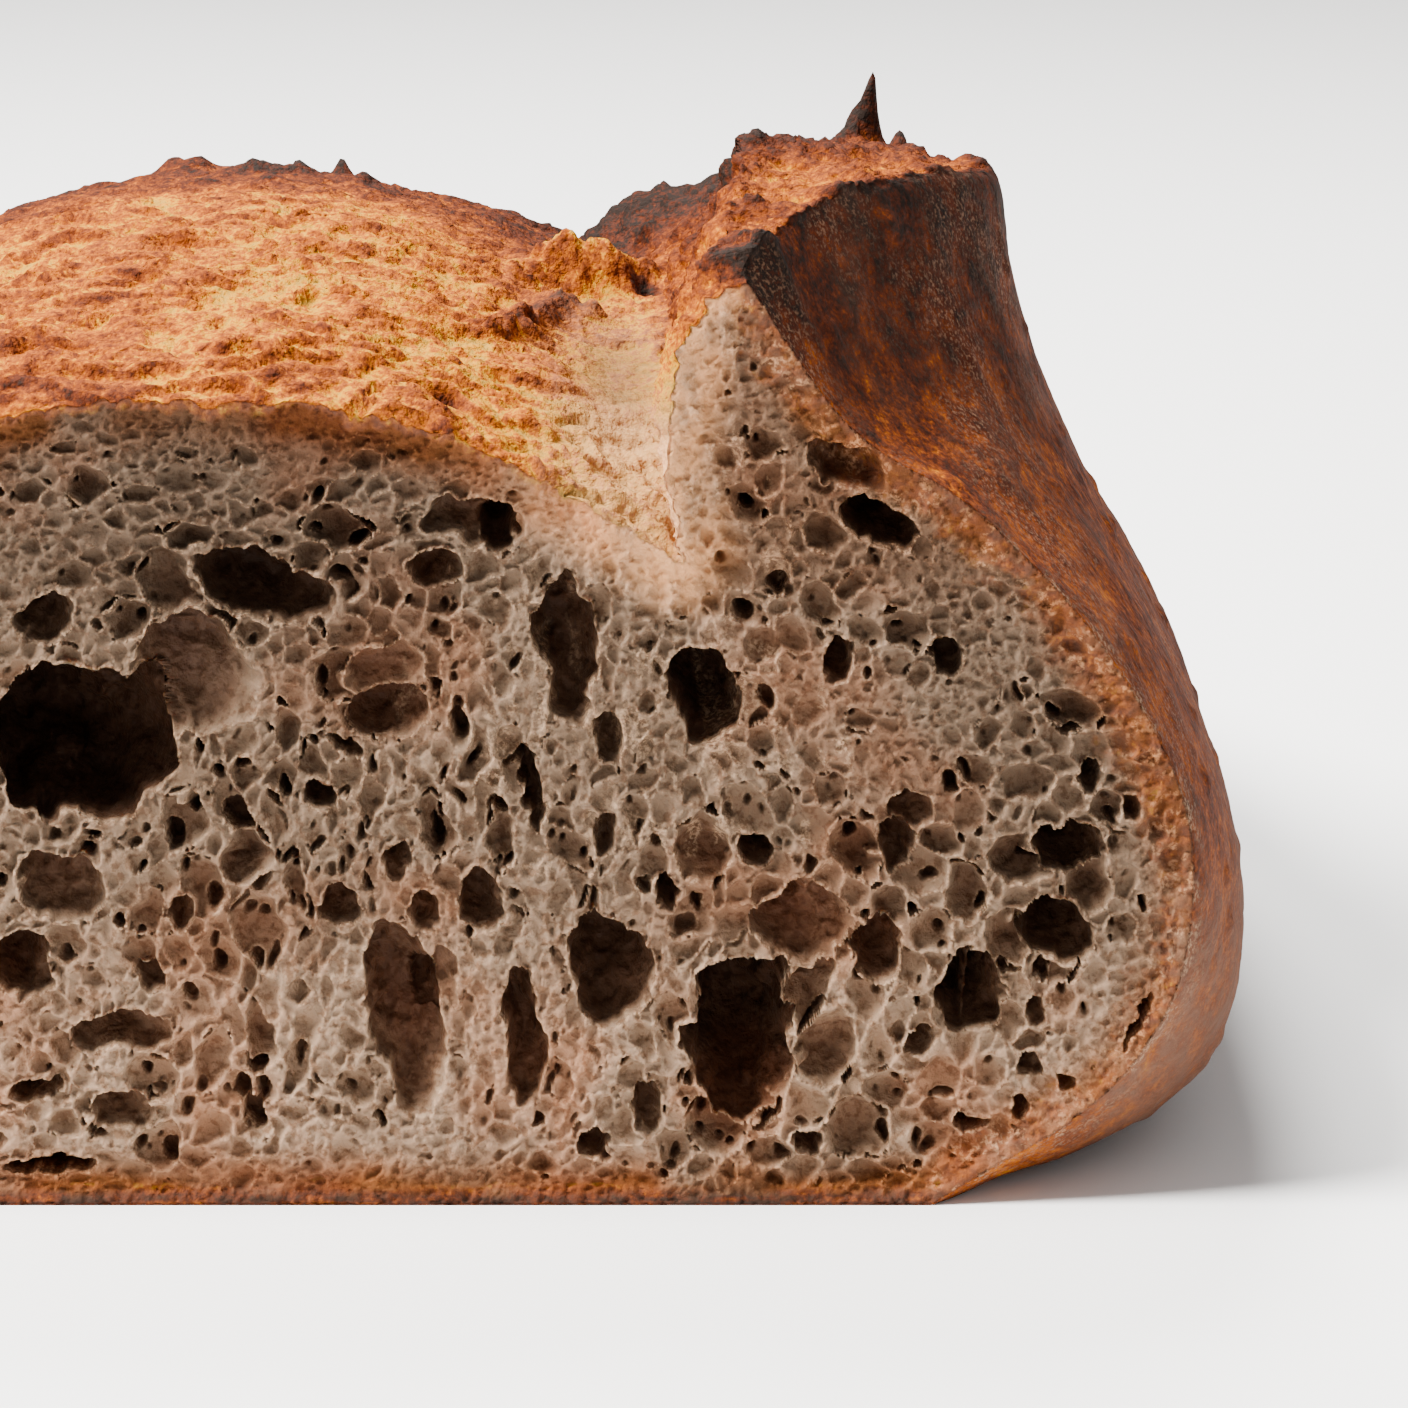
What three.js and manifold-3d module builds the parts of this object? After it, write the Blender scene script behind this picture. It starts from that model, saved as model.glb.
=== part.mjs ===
// A sourdough loaf with one end cut off, lying on its flat base.
//
// The whole loaf was an oval, 250 mm long. The knife took the near end away 60 mm before the widest
// section, so the flat cut face looks along -Y and the rounded far end is at +Y. The crust opened
// along a curved score right of the middle: the broad bloom rises left of it, and the ear, a flap of
// torn crust, stands up right of it. The cut face shows the largest holes of the crumb as real hollows.
//
// Millimetres, +Z up. The origin is on the table, under the middle of the loaf's bounding box.

import * as THREE from "three";
import { mergeVertices } from "three/addons/utils/BufferGeometryUtils.js";
import Module from "manifold-3d";

// ---- driving dimensions ----

const HALF_LENGTH = 125; // half of the whole loaf, before it was cut
const CUT_TO_MIDDLE = 60; // from the cut face to the widest section
const LENGTH = CUT_TO_MIDDLE + HALF_LENGTH;
const WAIST = 26; // height of the widest line of the sides

// How full the loaf's plan and side view are behind the widest section: 2 is an ellipse, more is squarer.
const PLAN = 2.3;
const RISE = 1.9;

const FLAT_SHARE = 0.55; // share of the back half over which the base stays flat on the table
const EAR_FADES = [118, 150]; // the ear sinks into the plain dome between these distances from the cut

const RINGS = 30;
const COLOURS = { crust: 0xa8642f };

// ---- the plain body's section: points [x, z], anticlockwise as seen from the front ----
// Each list has the section at the cut face first, then the widest section, point for point.

const BASE_RIGHT = [[[48, 0]], [[61, 0]]];
const BASE_LEFT = [[[-49, 0]], [[-62, 0]]];
const RIGHT_SIDE = [
  [[53, 3.2], [60.8, 8.1], [67.4, 14.8], [71.4, 24.3], [71.2, 39], [63.2, 54.5]],
  [[69.5, 1.4], [76.2, 5.6], [79.6, 13], [80, 24], [76.4, 37], [69.2, 51.5]],
];
const BLOOM = [
  [[12.4, 70.4], [-3, 76.3], [-20, 77.8], [-37, 76.2]],
  [[12.4, 78], [-3.4, 83.4], [-22, 85.6], [-42, 83.6]],
];
const BLOOM_EDGE = [[[-51, 70.2]], [[-58.5, 76]]];
const LEFT_SIDE = [
  [[-61.5, 58.5], [-69, 43.5], [-71.4, 28], [-67, 14.5], [-58, 4.6]],
  [[-70.5, 62], [-78.6, 45], [-81, 27], [-78.5, 12], [-71.5, 2.6]],
];

// Score and ear, each as [distance from the cut, x, z] along the loaf.
const SHOULDER = [[0, 51.3, 67.2], [25, 57.5, 67.8], [48, 60.8, 67.2], [80, 60, 65], [120, 45, 58]];
const FLANK = [[0, 40, 74.8], [15, 46, 76.6], [30, 52.5, 77.6], [48, 57.4, 77.6], [80, 56.5, 74],
  [120, 40, 62]];
const LIP = [[0, 30.6, 88.4], [5, 32.4, 91.2], [15, 36.6, 92.6], [30, 45.6, 93.6], [48, 54.8, 91.2],
  [64, 56.2, 88], [80, 54, 85], [100, 46, 78], [125, 33, 69]];
const RIDGE = [[0, 28.2, 87.8], [5, 28.2, 90.2], [20, 29.3, 93], [45, 30.5, 94.2], [60, 34.5, 92],
  [80, 42, 90], [100, 38, 83.5], [125, 23, 76]];
const WALL = [[0, 22.8, 79.5], [12, 24.2, 82], [25, 26, 84], [45, 26.5, 85], [80, 28.5, 83.5],
  [125, 16, 74.5]];
const NOTCH = [[0, 24.4, 62.6], [12, 24.4, 67.5], [25, 24, 72.2], [40, 23.4, 76], [60, 22, 77.4],
  [85, 17, 75], [100, 13.5, 72.5], [125, 8, 67]];

// Where the same points would lie on a loaf with no score, at the widest section.
const PLAIN = {
  shoulder: [59, 62],
  flank: [50, 70],
  lip: [41, 74.5],
  ridge: [36, 76.5],
  wall: [30, 78],
  notch: [24, 79],
};

// Charred flakes that stand on the ridge: [distance from the cut, x and z of the tip, height, radius, lean].
const FLAKES = [[80, 43.9, 95, 7, 2.2, 0.14], [87, 47.6, 88.6, 5, 1.8, 0.1], [42, 30.6, 95.8, 3, 3, 0]];

// Largest holes of the crumb on the cut face: [x, z, half width, half height, turn in degrees, depth].
const HOLES = [
  [-30.7, 45.1, 9.2, 7.4, -6, 20],
  [-20.1, 51.5, 6.8, 6, -10, 6],
  [-13.5, 59.9, 6.8, 2.9, -18, 12],
  [5.3, 65.8, 4.8, 2.4, -12, 6],
  [14, 54.1, 2.5, 7.4, 6, 12],
  [26.2, 49.7, 3, 5.2, 10, 20],
  [-2.5, 47.9, 3.5, 2.7, 0, 9],
  [39.8, 71.4, 3.6, 2.2, -20, 7],
  [42.7, 65.6, 4.3, 2.4, -22, 13],
  [60.6, 35, 3.2, 2.4, 0, 12],
  [59.6, 27, 3.9, 2.9, -22, 14],
  [51.6, 20.5, 3.7, 4, 0, 16],
  [30.2, 16.6, 4.6, 8.2, 0, 20],
  [18, 23.3, 3.9, 6.2, 12, 15],
  [9.7, 16.2, 1.9, 7.2, 3, 11],
  [-1.3, 18.4, 3.4, 9.2, 10, 7],
  [35.5, 26.9, 4, 4.2, -25, 8],
  [-33, 31.4, 3.9, 3.5, 0, 8],
  [-37.1, 23.7, 3.3, 3.6, 0, 12],
  [-28.2, 16.9, 5.3, 2, 4, 8],
];

// ---- shape functions ----

const clamp = THREE.MathUtils.clamp;

// At a distance y from the cut: how far the right side and the rest have come from the cut's section
// to the widest one, and how much of the widest section's width, rise and drop is left.
function sharesAt(y) {
  const front = clamp(y / CUT_TO_MIDDLE, 0, 1);
  const t = clamp((y - CUT_TO_MIDDLE) / HALF_LENGTH, 0, 1);
  const lift = clamp((t - FLAT_SHARE) / (1 - FLAT_SHARE), 0, 1);
  return {
    right: 1 - Math.pow(1 - front, 5),
    rest: 1 - Math.pow(1 - front, 2),
    width: Math.pow(1 - Math.pow(t, PLAN), 1 / PLAN),
    rise: Math.pow(1 - Math.pow(t, RISE), 1 / RISE),
    drop: Math.pow(1 - Math.pow(lift, 3), 1 / 3),
  };
}

// A point of the widest section, drawn in towards the far end.
function shrunk([x, z], shares) {
  const share = z > WAIST ? shares.rise : shares.drop;
  return new THREE.Vector2(x * shares.width, WAIST + (z - WAIST) * share);
}

// Points of the plain body, between the cut's section and the widest one.
function bodyPoints([cut, wide], shares, reached) {
  return cut.map(([x, z], i) => {
    const [wideX, wideZ] = wide[i];
    return shrunk([x + (wideX - x) * reached, z + (wideZ - z) * reached], shares);
  });
}

// Catmull-Rom between b and c, for numbers.
function catmull(a, b, c, d, t) {
  const v0 = (c - a) / 2;
  const v1 = (d - b) / 2;
  return (2 * b - 2 * c + v0 + v1) * t ** 3 + (3 * c - 3 * b - 2 * v0 - v1) * t ** 2 + v0 * t + b;
}

// A path given as [distance, x, z], read at a distance y.
function along(path, y) {
  const last = path.length - 2;
  const i = clamp(path.findIndex((p, n) => n <= last && y < path[n + 1][0]), 0, last);
  const span = i === last || y < path[i + 1][0] ? i : last;
  const pick = (n) => path[clamp(n, 0, path.length - 1)];
  const [a, b, c, d] = [pick(span - 1), pick(span), pick(span + 1), pick(span + 2)];
  const t = clamp((y - b[0]) / (c[0] - b[0]), 0, 1);
  return new THREE.Vector2(catmull(a[1], b[1], c[1], d[1], t), catmull(a[2], b[2], c[2], d[2], t));
}

// A score or ear point at y: on its own path, sinking into the plain dome towards the far end.
function earPoint(path, plain, y, shares) {
  const sunk = THREE.MathUtils.smoothstep(y, EAR_FADES[0], EAR_FADES[1]);
  const end = path[path.length - 1][0];
  return along(path, Math.min(y, end)).lerp(shrunk(plain, shares), sunk);
}

// Points of a smooth open curve through the given ones, without its last point.
function smooth(points, steps) {
  const found = [];
  for (let i = 0; i < points.length - 1; i++) {
    const [a, b, c, d] = [i - 1, i, i + 1, i + 2].map((n) => points[clamp(n, 0, points.length - 1)]);
    for (let s = 0; s < steps; s++) {
      const t = s / steps;
      found.push(new THREE.Vector2(catmull(a.x, b.x, c.x, d.x, t), catmull(a.y, b.y, c.y, d.y, t)));
    }
  }
  return found;
}

// The closed outline at a distance y from the cut, anticlockwise from the base's left end.
function outline(y) {
  const shares = sharesAt(y);
  const onRight = (lists) => bodyPoints(lists, shares, shares.right);
  const elsewhere = (lists) => bodyPoints(lists, shares, shares.rest);
  const [left] = elsewhere(BASE_LEFT);
  const [right] = onRight(BASE_RIGHT);
  const [edge] = elsewhere(BLOOM_EDGE);
  const shoulder = earPoint(SHOULDER, PLAIN.shoulder, y, shares);
  const flank = earPoint(FLANK, PLAIN.flank, y, shares);
  const lip = earPoint(LIP, PLAIN.lip, y, shares);
  const ridge = earPoint(RIDGE, PLAIN.ridge, y, shares);
  const wall = earPoint(WALL, PLAIN.wall, y, shares);
  const notch = earPoint(NOTCH, PLAIN.notch, y, shares);
  return [
    ...smooth([left, right], 8),
    ...smooth([right, ...onRight(RIGHT_SIDE), shoulder, flank, lip], 2),
    ...smooth([lip, ridge], 1),
    ...smooth([ridge, wall, notch], 3),
    ...smooth([notch, ...elsewhere(BLOOM), edge], 3),
    ...smooth([edge, ...elsewhere(LEFT_SIDE), left], 2),
  ];
}

// ---- solids ----

// A ring's distance from the cut: rings lie closer together near the cut and near the far tip.
function ringPlace(share) {
  const nearCut = 0.8 * share + 0.2 * share * share;
  return LENGTH * Math.sin(nearCut * (Math.PI / 2)) * (1 - 0.25 * (1 - share) ** 3);
}

// The loaf's body: rings of the outline from the cut face to the far tip, closed at both ends.
function bodyGeometry() {
  const positions = [];
  const index = [];
  const first = outline(0);
  const count = first.length;
  for (let ring = 0; ring < RINGS; ring++) {
    const y = ringPlace(ring / RINGS);
    for (const p of outline(y)) positions.push(p.x, y, p.y);
  }
  const tip = positions.length / 3;
  positions.push(0, LENGTH, WAIST);
  for (let ring = 0; ring < RINGS - 1; ring++) {
    for (let i = 0; i < count; i++) {
      const next = (i + 1) % count;
      const [a, b] = [ring * count + i, ring * count + next];
      index.push(a, b, b + count, a, b + count, a + count);
    }
  }
  const back = (RINGS - 1) * count;
  for (let i = 0; i < count; i++) index.push(back + i, back + ((i + 1) % count), tip);
  for (const face of THREE.ShapeUtils.triangulateShape(first, [])) index.push(...face.reverse());
  const geometry = new THREE.BufferGeometry();
  geometry.setAttribute("position", new THREE.Float32BufferAttribute(positions, 3));
  geometry.setIndex(index);
  return outwards(geometry);
}

// Turns every face round if the closed geometry encloses a negative volume.
function outwards(geometry) {
  const p = geometry.getAttribute("position");
  const index = geometry.index.array;
  const [a, b, c] = [new THREE.Vector3(), new THREE.Vector3(), new THREE.Vector3()];
  let volume = 0;
  for (let i = 0; i < index.length; i += 3) {
    [a, b, c].forEach((v, n) => v.fromBufferAttribute(p, index[i + n]));
    volume += a.dot(b.cross(c));
  }
  if (volume < 0) {
    for (let i = 0; i < index.length; i += 3) [index[i], index[i + 1]] = [index[i + 1], index[i]];
  }
  return geometry;
}

// A hole of the crumb: an ellipsoid whose widest section lies at the cut face.
function holeGeometry([x, z, halfWidth, halfHeight, turn, depth]) {
  return new THREE.SphereGeometry(1, 12, 8)
    .scale(halfWidth, depth, halfHeight)
    .rotateY(-THREE.MathUtils.degToRad(turn))
    .translate(x, 0, z);
}

// A charred flake: a slim cone with its tip up, sunk into the ridge.
function flakeGeometry([y, x, z, height, radius, lean]) {
  const rooted = height * 1.6;
  return new THREE.ConeGeometry(radius * 1.6, rooted, 7)
    .rotateX(Math.PI / 2)
    .rotateY(lean)
    .translate(x - (lean * rooted) / 2, y, z - rooted / 2);
}

const wasm = await Module();
wasm.setup();

function solid(geometry) {
  const bare = new THREE.BufferGeometry();
  bare.setAttribute("position", geometry.getAttribute("position"));
  bare.setIndex(geometry.index);
  const merged = mergeVertices(bare, 1e-3);
  return new wasm.Manifold(
    new wasm.Mesh({
      numProp: 3,
      vertProperties: new Float32Array(merged.getAttribute("position").array),
      triVerts: new Uint32Array(merged.index.array),
    }),
  );
}

function geometryOf(manifold) {
  const mesh = manifold.getMesh();
  const geometry = new THREE.BufferGeometry();
  geometry.setAttribute("position", new THREE.BufferAttribute(mesh.vertProperties, 3));
  geometry.setIndex(new THREE.BufferAttribute(mesh.triVerts, 1));
  geometry.computeVertexNormals();
  return geometry;
}

let loaf = solid(bodyGeometry());
for (const flake of FLAKES) loaf = loaf.add(solid(flakeGeometry(flake)));
for (const hole of HOLES) loaf = loaf.subtract(solid(holeGeometry(hole)));

// ---- the part ----

const crust = new THREE.MeshStandardMaterial({ color: COLOURS.crust, roughness: 0.85, metalness: 0 });
const mesh = new THREE.Mesh(geometryOf(loaf), crust);
mesh.name = "sourdough_loaf";

const box = new THREE.Box3().setFromObject(mesh);
const centre = box.getCenter(new THREE.Vector3());
mesh.position.set(-centre.x, -centre.y, -box.min.z);

const part = new THREE.Group();
part.add(mesh);

export default part;
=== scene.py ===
"""Looks of the cut sourdough loaf: one closed mesh, its crumb, bloom, ear and crust, on a pale floor."""

import math
from itertools import product

import bpy
import numpy as np
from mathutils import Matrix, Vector
from mathutils.geometry import delaunay_2d_cdt


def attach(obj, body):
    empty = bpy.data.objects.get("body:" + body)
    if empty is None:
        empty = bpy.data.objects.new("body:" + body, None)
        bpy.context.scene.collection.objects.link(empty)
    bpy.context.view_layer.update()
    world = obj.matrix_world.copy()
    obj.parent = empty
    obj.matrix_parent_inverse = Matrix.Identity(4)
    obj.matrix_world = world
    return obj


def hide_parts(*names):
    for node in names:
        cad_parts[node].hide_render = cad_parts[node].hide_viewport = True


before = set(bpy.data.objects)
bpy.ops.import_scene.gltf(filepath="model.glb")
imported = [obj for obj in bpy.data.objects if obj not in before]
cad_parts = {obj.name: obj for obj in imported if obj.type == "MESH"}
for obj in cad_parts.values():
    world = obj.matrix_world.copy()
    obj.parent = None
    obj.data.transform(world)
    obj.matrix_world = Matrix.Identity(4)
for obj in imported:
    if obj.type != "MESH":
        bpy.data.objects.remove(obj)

MM = 0.001
rng = np.random.default_rng(11)

# ======== driving shape, in millimetres
# Design frame: cut face at y = 0 looking along -Y, x = 0 at its middle, base at z = 0.

HALF_LENGTH = 125.0
CUT_TO_MIDDLE = 60.0
LENGTH = CUT_TO_MIDDLE + HALF_LENGTH
WAIST = 26.0
PLAN = 2.3
RISE = 1.9
FLAT_SHARE = 0.55
EAR_FADES = (118.0, 150.0)

# The plain body's section at the cut face and at the widest place, point for point.
BASE_RIGHT = [(48, 0), (61, 0)]
BASE_LEFT = [(-49, 0), (-62, 0)]
RIGHT_SIDE = [[(53, 3.2), (60.8, 8.1), (67.4, 14.8), (71.4, 24.3), (71.2, 39), (63.2, 54.5)],
              [(69.5, 1.4), (76.2, 5.6), (79.6, 13), (80, 24), (76.4, 37), (69.2, 51.5)]]
BLOOM = [[(12.4, 70.4), (-3, 76.3), (-20, 77.8), (-37, 76.2)],
         [(12.4, 78), (-3.4, 83.4), (-22, 85.6), (-42, 83.6)]]
BLOOM_EDGE = [(-51, 70.2), (-58.5, 76)]
LEFT_SIDE = [[(-61.5, 58.5), (-69, 43.5), (-71.4, 28), (-67, 14.5), (-58, 4.6)],
             [(-70.5, 62), (-78.6, 45), (-81, 27), (-78.5, 12), (-71.5, 2.6)]]

# The ear, from its shoulder to the notch of the score: where the plain body has each point, and the
# point's way along the loaf as y, x, z.
EAR = {
    "shoulder": ((59, 62), [
        (0, 51.3, 67.2), (25, 57.5, 67.8), (48, 60.8, 67.2), (80, 60, 65), (120, 45, 58)]),
    "flank": ((50, 70), [
        (0, 40, 74.8), (15, 46, 76.6), (30, 52.5, 77.6), (48, 57.4, 77.6), (80, 56.5, 74), (120, 40, 62)]),
    "lip": ((41, 74.5), [
        (0, 30.6, 88.4), (5, 32.4, 91.2), (15, 36.6, 92.6), (30, 45.6, 93.6), (48, 54.8, 91.2),
        (64, 56.2, 88), (80, 54, 85), (100, 46, 78), (125, 33, 69)]),
    "ridge": ((36, 76.5), [
        (0, 28.2, 87.8), (5, 28.2, 90.2), (20, 29.3, 93), (45, 30.5, 93.6), (60, 34.5, 91.3),
        (80, 42, 88.6), (100, 38, 83.5), (125, 23, 76)]),
    "wall": ((30, 78), [
        (0, 22.8, 79.5), (12, 24.2, 82), (25, 26, 84), (45, 26.5, 85), (80, 28.5, 83.5), (125, 16, 74.5)]),
    "notch": ((24, 79), [
        (0, 24.4, 62.6), (12, 24.4, 67.5), (25, 24, 72.2), (40, 23.4, 76), (60, 22, 77.4),
        (85, 17, 75), (100, 13.5, 72.5), (125, 8, 67)]),
}

# The origin of the row frame, in the design frame.
ORIGIN = np.array([-0.378, LENGTH / 2, 0.0])

# Holes of the crumb: x, z, half width, half height, turn in degrees and depth. The first is the largest,
# and its far end turns aside in x and z.
LARGEST_SHIFT = (-3, -1)
HOLES = [
    (-30.7, 45.1, 9.2, 7.4, -6, 30), (-20.1, 51.5, 6.8, 6, -10, 8), (-13.5, 59.9, 6.8, 2.9, -18, 12),
    (-34, 56.8, 3.2, 2.1, 25, 8), (5.3, 65.8, 4.8, 2.4, -12, 6), (7.8, 65.3, 1.7, 2.5, 0, 14),
    (1.9, 61.5, 2.4, 1.9, -10, 7), (14, 54.1, 2.5, 7.4, 6, 12), (26.2, 49.7, 3, 5.2, 10, 20),
    (-2.5, 47.9, 3.5, 2.7, 0, 9), (-2.7, 52.1, 3.8, 2.4, 0, 4.5), (10.6, 40.7, 1, 4.3, 8, 9),
    (39.8, 71.4, 3.6, 2.2, -20, 7), (42.7, 65.6, 4.3, 2.4, -22, 13), (39.1, 53.2, 1.5, 2.1, 0, 9),
    (49, 53.4, 1.5, 1.9, 0, 8), (60.6, 35, 3.2, 2.4, 0, 13), (59.6, 27, 3.9, 2.9, -22, 15),
    (51.6, 20.5, 3.7, 4, 0, 16), (30.2, 16.6, 4.6, 8.2, 0, 28), (18, 23.3, 3.9, 6.2, 12, 15),
    (9.7, 16.2, 1.9, 7.2, 3, 11), (-1.3, 18.4, 3.4, 9.2, 10, 11), (0.2, 19.5, 2, 3.6, 0, 14),
    (35.5, 26.9, 4, 4.2, -25, 8), (42.6, 24.6, 2.2, 3.5, 18, 10), (44.3, 35.5, 2, 2.6, 10, 9),
    (46.1, 38.8, 2.5, 1.9, -30, 7), (31.5, 35, 1.9, 1.5, 0, 11), (-33, 31.4, 3.9, 3.5, 0, 8),
    (-37.1, 23.7, 3.3, 3.6, 0, 13), (-28.2, 16.9, 5.3, 2, 4, 8), (-36.2, 11.3, 2.9, 1.2, 10, 9),
    (-28, 9.3, 3.7, 2.2, -5, 7), (-35.3, 3.8, 4.6, 0.9, 0, 12), (-7.2, 29.2, 2, 2.2, 0, 8),
    (-22.1, 28.7, 1.2, 2.1, 0, 6), (-2, 33.9, 1.2, 1.8, 0, 6), (-8.9, 40.2, 1.8, 1.5, -20, 8),
    (6.2, 29.7, 2, 3.5, 12, 9), (0.6, 28.7, 1.5, 2.1, 18, 6), (16.1, 6, 1.6, 1.4, 0, 8),
    (21.3, 9.4, 1.7, 2.6, 0, 7), (36.5, 6, 1.6, 1.3, 0, 9), (23.3, 30.8, 1, 1.6, 0, 9),
    (62.3, 41.6, 1.1, 1.9, 0, 7), (66.3, 38.9, 1, 1.4, 0, 5), (-25.1, 22.5, 1.5, 1.8, 0, 6),
    (-6.5, 44.6, 2, 0.8, -30, 6), (17.9, 45.6, 1.4, 2.6, 10, 6), (17.5, 36.4, 1.2, 2.3, 0, 6),
    (46.9, 15.9, 1.4, 1.4, 0, 8), (2.1, 22.4, 1.6, 3.1, 12, 5), (-48.9, 38.2, 5.2, 4.2, 15, 12),
    (-57, 27, 3.4, 4.4, 10, 10), (-46.8, 54.3, 4.6, 2.6, 20, 9), (-47.8, 16.7, 4.4, 3, 10, 11),
    (-58.2, 43.3, 2.6, 3.2, 20, 8), (-44.8, 28.6, 2.2, 2.6, 0, 8), (-49.4, 63.2, 2.6, 1.5, 25, 6),
    (-42, 6.3, 3, 1.5, 5, 7), (-55.6, 11, 2.4, 1.6, -20, 7), (57.9, 19, 1.1, 1.7, 0, 6),
    (57.4, 13.9, 1.2, 1.1, 0, 7), (60.7, 12.3, 0.9, 0.8, 0, 6), (56.7, 9.7, 1, 1.3, 0, 7),
    (51.7, 8.1, 1.9, 0.9, 0, 8), (67.4, 29.5, 0.5, 1.2, 0, 5), (67.2, 18.1, 3.2, 0.5, 68, 6),
]


# ======== small tools

def unit(values):
    return np.clip(values, 0, 1)


def ease(x, low, high):
    """0 up to low, 1 from high on, and a smooth rise between."""
    t = unit((np.asarray(x, float) - low) / (high - low))
    return t * t * (3 - 2 * t)


def fade(x, low, high):
    return 1 - ease(x, low, high)


def mix(a, b, t):
    return a + (b - a) * t


def lattice(ix, iy, iz, seed):
    """A random number in [0, 1) for each whole-number point."""
    h = (ix.astype(np.int64) * 374761393 + iy.astype(np.int64) * 668265263
         + iz.astype(np.int64) * 1440662683 + seed * 974711) & 0xFFFFFFFF
    h = ((h ^ (h >> 13)) * 1274126177) & 0xFFFFFFFF
    h = ((h ^ (h >> 16)) * 2246822519) & 0xFFFFFFFF
    return ((h ^ (h >> 15)) & 0xFFFFFF) / float(0x1000000)


def noise(points, size, seed, octaves=1, gain=0.5):
    """Smooth noise in about [-1, 1] with features of the given size in millimetres."""
    size = np.asarray(size, float)
    total, weight, amount = 0.0, 1.0, 0.0
    for octave in range(octaves):
        q = points / (size / 2**octave)
        base = np.floor(q)
        f = q - base
        f = (f * f * f * (f * (f * 6 - 15) + 10)).T
        cell = base.astype(np.int64).T
        value = 0.0
        for corner in product((0, 1), repeat=3):
            wx, wy, wz = (f[k] if corner[k] else 1 - f[k] for k in range(3))
            number = lattice(*(cell[k] + corner[k] for k in range(3)), seed + octave * 17)
            value = value + wx * wy * wz * number
        total = total + (value * 2 - 1) * weight
        amount += weight
        weight *= gain
    return total / amount * 1.5


def grains(points, size, seed):
    """For scattered points, in units of size: the distances to the nearest and the second nearest, a
    random number for the nearest, and the way to it."""
    q = points / np.asarray(size, float)
    base = np.floor(q).astype(np.int64)
    first = np.full(len(q), 9.0)
    second = np.full(len(q), 9.0)
    mark = np.zeros(len(q))
    way = np.zeros((len(q), 3))
    for step in product((-1, 0, 1), repeat=3):
        cell = [base[:, k] + step[k] for k in range(3)]
        ox, oy, oz = (cell[k] + lattice(*cell, seed + k) - q[:, k] for k in range(3))
        d = np.sqrt(ox * ox + oy * oy + oz * oz)
        nearer = d < first
        second = np.where(nearer, first, np.minimum(second, d))
        mark = np.where(nearer, lattice(*cell, seed + 3), mark)
        way[nearer] = np.stack([ox, oy, oz], 1)[nearer]
        first = np.where(nearer, d, first)
    return first, second, mark, way


# ======== the loaf's smooth form

def shares_at(y):
    """At a distance from the cut: how far the right side and the rest have come to the widest section,
    and how much of the widest section's width, rise and drop is left."""
    front = unit(y / CUT_TO_MIDDLE)
    t = unit((y - CUT_TO_MIDDLE) / HALF_LENGTH)
    lift = unit((t - FLAT_SHARE) / (1 - FLAT_SHARE))
    return (1 - (1 - front) ** 5, 1 - (1 - front) ** 2,
            (1 - t**PLAN) ** (1 / PLAN), (1 - t**RISE) ** (1 / RISE), (1 - lift**3) ** (1 / 3))


def body_point(pair, shares, right=False):
    """A point of the plain body, from its places at the cut and at the widest section."""
    point = mix(np.array(pair[0], float), np.array(pair[1], float), shares[0 if right else 1])
    return shrunk(point, shares)


def shrunk(point, shares):
    share = shares[3] if point[1] > WAIST else shares[4]
    return np.array([point[0] * shares[2], WAIST + (point[1] - WAIST) * share])


def catmull(a, b, c, d, t):
    v0, v1 = (c - a) / 2, (d - b) / 2
    return (2 * b - 2 * c + v0 + v1) * t**3 + (3 * c - 3 * b - 2 * v0 - v1) * t**2 + v0 * t + b


def along(path, y):
    """The smooth path's x and z at a distance from the cut."""
    path = np.array(path, float)
    y = min(max(y, path[0, 0]), path[-1, 0])
    i = min(int(np.searchsorted(path[:, 0], y, side="right")) - 1, len(path) - 2)
    pick = [path[min(max(i + k, 0), len(path) - 1), 1:] for k in (-1, 0, 1, 2)]
    return catmull(*pick, (y - path[i, 0]) / (path[i + 1, 0] - path[i, 0]))


def ear_point(name, y, shares):
    """A point of the ear, which sinks into the plain body towards the far end."""
    plain, path = EAR[name]
    return mix(along(path, y), shrunk(plain, shares), float(ease(y, *EAR_FADES)))


def smooth(points, steps):
    """A smooth line through the points, without its last point, with so many steps on each stretch."""
    points = [np.array(p, float) for p in points]
    last = len(points) - 1
    found = []
    for i in range(last):
        t = (np.arange(steps[i]) / steps[i])[:, None]
        ring = [points[min(max(i + k, 0), last)] for k in (-1, 0, 1, 2)]
        found.append(catmull(*ring, t))
    return np.vstack(found)


# How many points each stretch of the outline has, from the base's left end round to it again.
STEPS = {
    "base": [64],
    "side": [18, 20, 22, 26, 30, 32, 36, 28, 38],
    "top": [30],
    "wall": [28, 34],
    "bloom": [36, 36, 36, 34, 34],
    "left": [26, 26, 24, 22, 20, 18],
}
AROUND = sum(sum(s) for s in STEPS.values())

# Where each point of a ring lies: a running number that is whole at the named points of the outline.
stretch = np.concatenate([np.arange(s) / s + k for k, s in enumerate(sum(STEPS.values(), []))])
AT = {"right": 1, "shoulder": 8, "lip": 10, "ridge": 11, "notch": 13, "edge": 18, "left": 24}


def between(start, end, soft=0.15):
    """1 for ring points from one place of the outline to another, with soft ends."""
    return ease(stretch, start - soft, start + soft) * fade(stretch, end - soft, end + soft)


def along_base(soft):
    return between(-1, AT["right"], soft) + between(AT["left"], 26, soft)


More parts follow.
